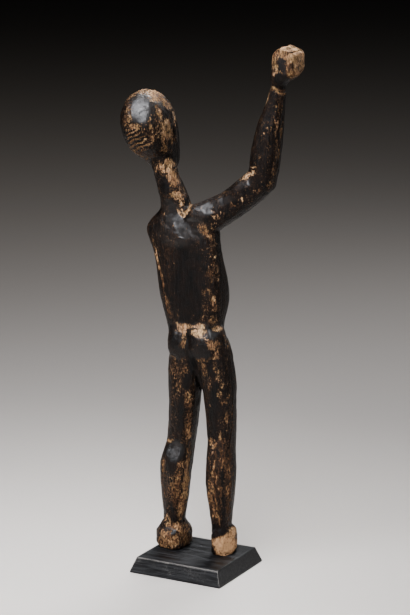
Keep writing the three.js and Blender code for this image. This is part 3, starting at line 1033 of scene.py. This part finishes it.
def oiled_patina_wood(settings):
    """Dark hardwood under years of oil and handling: glossy and near black where the patina
    is whole, matt golden to pinkish wood with open grain where it has worn through."""
    material, tree = new_material("oiled_patina_wood")
    place = add_node(tree, "TexCoord", out="Object")
    along = add_node(tree, "Mapping", {"Vector": place}, in_Scale=(1, 1, 0.09))
    bare, tone, polish = (
        add_node(tree, "Attribute", out="Fac", attribute_name=name)
        for name in ("bare", "tone", "polish")
    )
    # flecks of 1.8 mm and finer break the patina, which lies thicker and thinner over 9 mm,
    # and the tool left broad strokes 2.5 mm apart. Grain lines 0.9 mm and pores 1.6 mm apart
    # are coarser than the wood's own, which are too fine to show
    flecks, grain, cloud, pores, strokes = (
        add_node(
            tree,
            "TexNoise",
            {"Vector": vector},
            in_Scale=per_metre(size),
            in_Detail=detail,
            in_Roughness=roughness,
        )
        for vector, size, detail, roughness in (
            (place, 1.7857, 5, 0.78),
            (along, 0.9091, 3, 0.6),
            (place, 9.0909, 4, 0.6),
            (place, 1.5625, 3, 0.7),
            (along, 2.5, 2, 0.5),
        )
    )
    # chips of patina 1.2 mm wide and 2.7 mm long come away whole, with outlines bent by 1.6 mm
    bent = add_node(
        tree, "TexNoise", {"Vector": along}, out="Color", in_Scale=per_metre(1.4286), in_Detail=2
    )
    bent = add_node(
        tree, "VectorMath", {0: bent, 2: place}, operation="MULTIPLY_ADD", in_1=(1.6 * MM,) * 3
    )
    bent = add_node(tree, "Mapping", {"Vector": bent}, in_Scale=(1, 1, 0.45))
    chips = add_node(tree, "TexVoronoi", {"Vector": bent}, out="Color", in_Scale=per_metre(1.2195))
    worn = add_up(tree, bare, ((flecks, 3.3), (grain, 0.4), (chips, 0.8)), -2.42)
    patina = add_node(
        tree, "ValToRGB", {0: cloud}, stops=[(0.36, settings.patina), (0.66, settings.patina_brown)]
    )
    # each chip leaves wood of its own tone
    wood = add_node(
        tree,
        "ValToRGB",
        {0: add_up(tree, tone, ((chips, 0.6),), -0.38)},
        stops=[
            (0.08, settings.bare_dark),
            (0.3, settings.bare_rust),
            (0.55, settings.bare_golden),
            (0.9, settings.bare_pale),
        ],
    )
    # the wood turns from olive to pinkish with the thickness of the oil left in it, and dirt
    # lies in its grain lines and pores
    tinted = ((0.38, linear("#fffae6")), (0.62, linear("#ffefe8")))
    dirty = ((0.38, grey(0.25)), (0.52, grey(1.0)))
    for layer, stops, amount in ((cloud, tinted, 1.0), (grain, dirty, 0.7), (pores, dirty, 0.8)):
        layer = add_node(tree, "ValToRGB", {0: layer}, stops=stops)
        wood = add_node(
            tree,
            "Mix",
            {6: wood, 7: layer},
            out=2,
            data_type="RGBA",
            blend_type="MULTIPLY",
            in_0=amount,
        )
    # from whole patina through a thin stain to bare wood, and to fresh wood where it is deepest
    thin = add_node(tree, "MapRange", {0: worn}, in_1=0.0, in_2=0.42)
    through = add_node(tree, "MapRange", {0: worn}, in_1=0.42, in_2=0.62)
    fresh = add_node(tree, "MapRange", {0: worn}, in_1=1.1, in_2=1.9, in_4=0.86)
    colour = add_node(
        tree, "Mix", {0: thin, 6: patina}, out=2, data_type="RGBA", in_7=settings.bare_dark
    )
    colour = add_node(tree, "Mix", {0: through, 6: colour, 7: wood}, out=2, data_type="RGBA")
    colour = add_node(
        tree, "Mix", {0: fresh, 6: colour}, out=2, data_type="RGBA", in_7=settings.bare_fresh
    )
    gloss = add_node(tree, "MapRange", {0: worn}, in_1=0.3, in_2=0.7, in_3=0.28, in_4=0.66)
    gloss = add_up(tree, gloss, ((cloud, 0.12), (polish, -0.10)))
    height = add_up(tree, grain, ((through, -0.9), (strokes, 1.6), (flecks, 0.8)))
    # polished places are smoother
    relief = add_node(tree, "MapRange", {0: polish}, in_3=1.0, in_4=0.55)
    bump = add_node(tree, "Bump", {"Height": height, "Strength": relief}, in_Distance=0.7 * MM)
    # a skin of oil lies on the polished patina and is gone where the wood is bare
    left = add_node(tree, "MapRange", {0: worn}, in_1=0.35, in_2=0.85, in_3=0.85, in_4=0.0)
    skin = add_node(tree, "Math", {0: polish, 1: left}, operation="MULTIPLY")
    # oil and wood are near 1.5: the dry patina is matched to mirror less, its skin a little more
    shader = add_node(
        tree,
        "BsdfPrincipled",
        {"Base Color": colour, "Roughness": gloss, "Normal": bump, "Coat Weight": skin},
        in_IOR=1.19,
        in_Coat_Roughness=0.36,
        in_Coat_IOR=1.6,
    )
    add_node(tree, "OutputMaterial", {"Surface": shader})
    return material


def brushed_black_paint(settings):
    """Charcoal black paint brushed along the base's length: satin, with fine streaks, and
    rubbed to a grey line along its edges."""
    material, tree = new_material("brushed_black_paint")
    place = add_node(tree, "TexCoord", out="Object")
    along = add_node(
        tree, "Mapping", {"Vector": place}, in_Location=(0, 0.013, 0.007), in_Scale=(0.035, 0.35, 1)
    )
    worn = add_node(tree, "Attribute", out="Fac", attribute_name="worn")
    # brush streaks along the length, 1.2 mm apart on the sides and 3.5 mm on the top
    streaks = add_node(
        tree,
        "TexNoise",
        {"Vector": along},
        in_Scale=per_metre(1.2195),
        in_Detail=4,
        in_Roughness=0.65,
    )
    # crumbs of 1.1 mm break the worn edge
    specks = add_node(tree, "TexNoise", {"Vector": place}, in_Scale=per_metre(1.1111), in_Detail=2)
    paint = add_node(
        tree, "ValToRGB", {0: streaks}, stops=[(0.44, settings.paint), (0.72, settings.paint_light)]
    )
    rubbed = add_node(tree, "Math", {0: specks, 1: worn}, operation="MULTIPLY")
    rubbed = add_node(tree, "ValToRGB", {0: rubbed}, stops=[(0.22, grey(0)), (0.48, grey(1))])
    colour = add_node(tree, "Mix", {0: rubbed, 6: paint}, out=2, data_type="RGBA", in_7=settings.worn)
    gloss = add_node(tree, "MapRange", {0: streaks}, in_3=0.32, in_4=0.62)
    bump = add_node(tree, "Bump", {"Height": streaks}, in_Strength=0.8, in_Distance=0.5 * MM)
    # paint is near 1.5, and this dusty one is matched to mirror less
    surface = {"Base Color": colour, "Roughness": gloss, "Normal": bump}
    shader = add_node(tree, "BsdfPrincipled", surface, in_IOR=1.27)
    add_node(tree, "OutputMaterial", {"Surface": shader})
    return material


def pale_floor_paint(settings):
    """Matt pale studio floor, which shows soft shadows and no reflections."""
    material, tree = new_material("pale_floor_paint")
    shader = add_node(tree, "BsdfPrincipled", in_Base_Color=settings.floor, in_Roughness=0.85)
    add_node(tree, "OutputMaterial", {"Surface": shader})
    return material


def add_piece(name, mesh, material, node):
    """Puts a finished mesh in the scene in place of a CAD node."""
    mesh.materials.clear()
    mesh.materials.append(material)
    piece = add_object(name, mesh)
    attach(piece, "root")
    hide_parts(node)


# The base: the spacing in metres of the cuts across it, and the height in millimetres up to
# which it stays plane, so that it lies flat

GRID = 0.002
PLANE_BELOW = 0.9


def base_mesh(settings):
    """The base: an upright edge below, sloping sides above, with softly rounded edges."""
    holder = merged_block("base", flat_angle=math.radians(1))
    bevel = holder.modifiers.new("Edges", "BEVEL")
    bevel.width = settings.edge_round
    bevel.segments = 3
    bevel.limit_method = "ANGLE"
    bevel.angle_limit = math.radians(12)
    mesh = plain_mesh(holder, "painted_base")
    cut = bmesh.new()
    cut.from_mesh(mesh)
    for axis in range(3):
        low, high = BASE_LOW[axis], BASE_HIGH[axis]
        count = round((high - low) / GRID)
        facing = Vector((0, 0, 0))
        facing[axis] = 1
        for k in range(1, count):
            at = facing * (low + (high - low) * k / count)
            bmesh.ops.bisect_plane(
                cut, geom=cut.verts[:] + cut.edges[:] + cut.faces[:], plane_co=at, plane_no=facing
            )
    cut.to_mesh(mesh)
    cut.free()
    wear_base(mesh)
    shade_smooth(mesh)
    return mesh


def wear_base(mesh):
    """Waves the painted sides slightly and marks how worn each point is."""
    points = read_vectors(mesh, "co") / MM
    turned = read_vectors(mesh, "normal")
    lean = turned[:, 2]
    side = np.abs(turned[:, :2]).max(axis=1)
    on_edge = step_up(0.965, 0.90, np.maximum(lean, side)) * (lean > 0.05)
    chance = 0.5 + 0.5 * rough(points, 7, seed=61, layers=3)
    # the edges along the length and the upright corners are rubbed most
    handled = 0.3 + 0.7 * step_up(0.12, 0.4, np.abs(turned[:, 1]))
    worn = on_edge * (0.5 + 0.8 * chance) * handled
    depth = -0.12 * on_edge * chance + 0.05 * noise(points, (30, 9, 9), seed=62)
    points += turned * np.where(points[:, 2] < PLANE_BELOW, 0, depth)[:, None]
    write_back(mesh, points, {"worn": np.clip(worn, 0, 1)})


# The studio: half the floor's side in metres, and the softboxes with their place in metres,
# what they aim at, side, power setting, colour and spread in degrees

FLOOR_HALF = 26.0
SOFTBOXES = (
    ("key_softbox", KEY_AT * MM, (0, 0, 0.4), 1.15, "key_power", "#f8f9ff", 107),
    ("top_softbox", (1.357, 0, 4.31), (1.357, 0, 0), 1.2, "top_power", "#fff6ec", 180),
    ("low_softbox", (-0.2, 0.962, 1.241), (0.235, 0.364, 0), 0.6, "low_power", "#ffffff", 61),
    ("front_softbox", (-0.9, -1.6, 1.2), (0, 0, 0.33), 1.2, "fill_power", "#ffffff", 180),
    ("face_softbox", (0.1, -0.85, 1.6), (0, 0, 0.42), 0.7, "face_power", "#ffffff", 45),
)


def make_floor(settings):
    """The wide plain floor."""
    corners = [(-1, -1), (1, -1), (1, 1), (-1, 1)]
    mesh = bpy.data.meshes.new("studio_floor")
    mesh.from_pydata([(x * FLOOR_HALF, y * FLOOR_HALF, 0) for x, y in corners], [], [(0, 1, 2, 3)])
    mesh.materials.append(pale_floor_paint(settings))
    floor = add_object("studio_floor", mesh)


def make_lights(settings):
    """The square softboxes, and a dim glow from all sides."""
    for name, place, aim, side, power, colour, spread in SOFTBOXES:
        light = bpy.data.lights.new(name, "AREA")
        light.size = side
        light.energy = getattr(settings, power)
        light.spread = math.radians(spread)
        light.color = linear(colour)[:3]
        holder = add_object(name, light)
        holder.location = place
        holder.visible_camera = False
        holder.rotation_euler = (Vector(aim) - Vector(place)).to_track_quat("-Z", "Y").to_euler()
    world = bpy.data.worlds.new("soft_studio")
    bpy.context.scene.world = world
    world.use_nodes = True
    world.node_tree.nodes.clear()
    glow = add_node(world.node_tree, "Background", in_Color=linear("#dfe3e8"), in_Strength=0.004)
    add_node(world.node_tree, "OutputWorld", {"Surface": glow})


def make_camera():
    """The photograph's camera."""
    lens = bpy.data.cameras.new("photo_camera")
    lens.sensor_fit = "AUTO"
    lens.sensor_width = SENSOR
    lens.lens = CAMERA_FOCUS / max(PHOTO_SIZE) * SENSOR
    camera = add_object("photo_camera", lens)
    camera.location = CAMERA_AT * MM
    camera.rotation_euler = (math.pi / 2 - CAMERA_PITCH, 0, CAMERA_TURN)
    bpy.context.scene.camera = camera


# Operators, panel and registration


class FIGURE_OT_carve(bpy.types.Operator):
    """Carve the figure and give it its worn patina"""

    bl_idname = "figure.carve"
    bl_label = "Carve the figure"

    def execute(self, context):
        settings = context.scene.figure_settings
        mesh = carve_figure(settings)
        add_piece("carved_figure", mesh, oiled_patina_wood(settings), "figure")
        return {"FINISHED"}


class FIGURE_OT_base(bpy.types.Operator):
    """Make the painted base under the figure"""

    bl_idname = "figure.base"
    bl_label = "Make the base"

    def execute(self, context):
        settings = context.scene.base_settings
        mesh = base_mesh(settings)
        add_piece("painted_base", mesh, brushed_black_paint(settings), "base")
        return {"FINISHED"}


class FIGURE_OT_stage(bpy.types.Operator):
    """Set up the floor, the softboxes and the camera"""

    bl_idname = "figure.stage"
    bl_label = "Set up the stage"

    def execute(self, context):
        settings = context.scene.stage_settings
        make_floor(settings)
        make_lights(settings)
        make_camera()
        return {"FINISHED"}


class FIGURE_PT_panel(bpy.types.Panel):
    """The figure's pieces and their settings"""

    bl_idname = "FIGURE_PT_panel"
    bl_label = "Carved figure"
    bl_space_type = "VIEW_3D"
    bl_region_type = "UI"
    bl_category = "Figure"

    def draw(self, context):
        for group, operator in PIECES:
            box = self.layout.box()
            settings = getattr(context.scene, group)
            for name in settings.__annotations__:
                box.prop(settings, name)
            box.operator(operator)


PIECES = (
    ("figure_settings", "figure.carve"),
    ("base_settings", "figure.base"),
    ("stage_settings", "figure.stage"),
)
CLASSES = (
    FigureSettings,
    BaseSettings,
    StageSettings,
    FIGURE_OT_carve,
    FIGURE_OT_base,
    FIGURE_OT_stage,
    FIGURE_PT_panel,
)


def register():
    for cls in CLASSES:
        bpy.utils.register_class(cls)
    for (group, _), settings in zip(PIECES, CLASSES):
        setattr(bpy.types.Scene, group, bpy.props.PointerProperty(type=settings))


def unregister():
    for group, _ in PIECES:
        delattr(bpy.types.Scene, group)
    for cls in reversed(CLASSES):
        bpy.utils.unregister_class(cls)


def main():
    register()
    bpy.ops.figure.carve()
    bpy.ops.figure.base()
    bpy.ops.figure.stage()


if __name__ == "__main__":
    main()
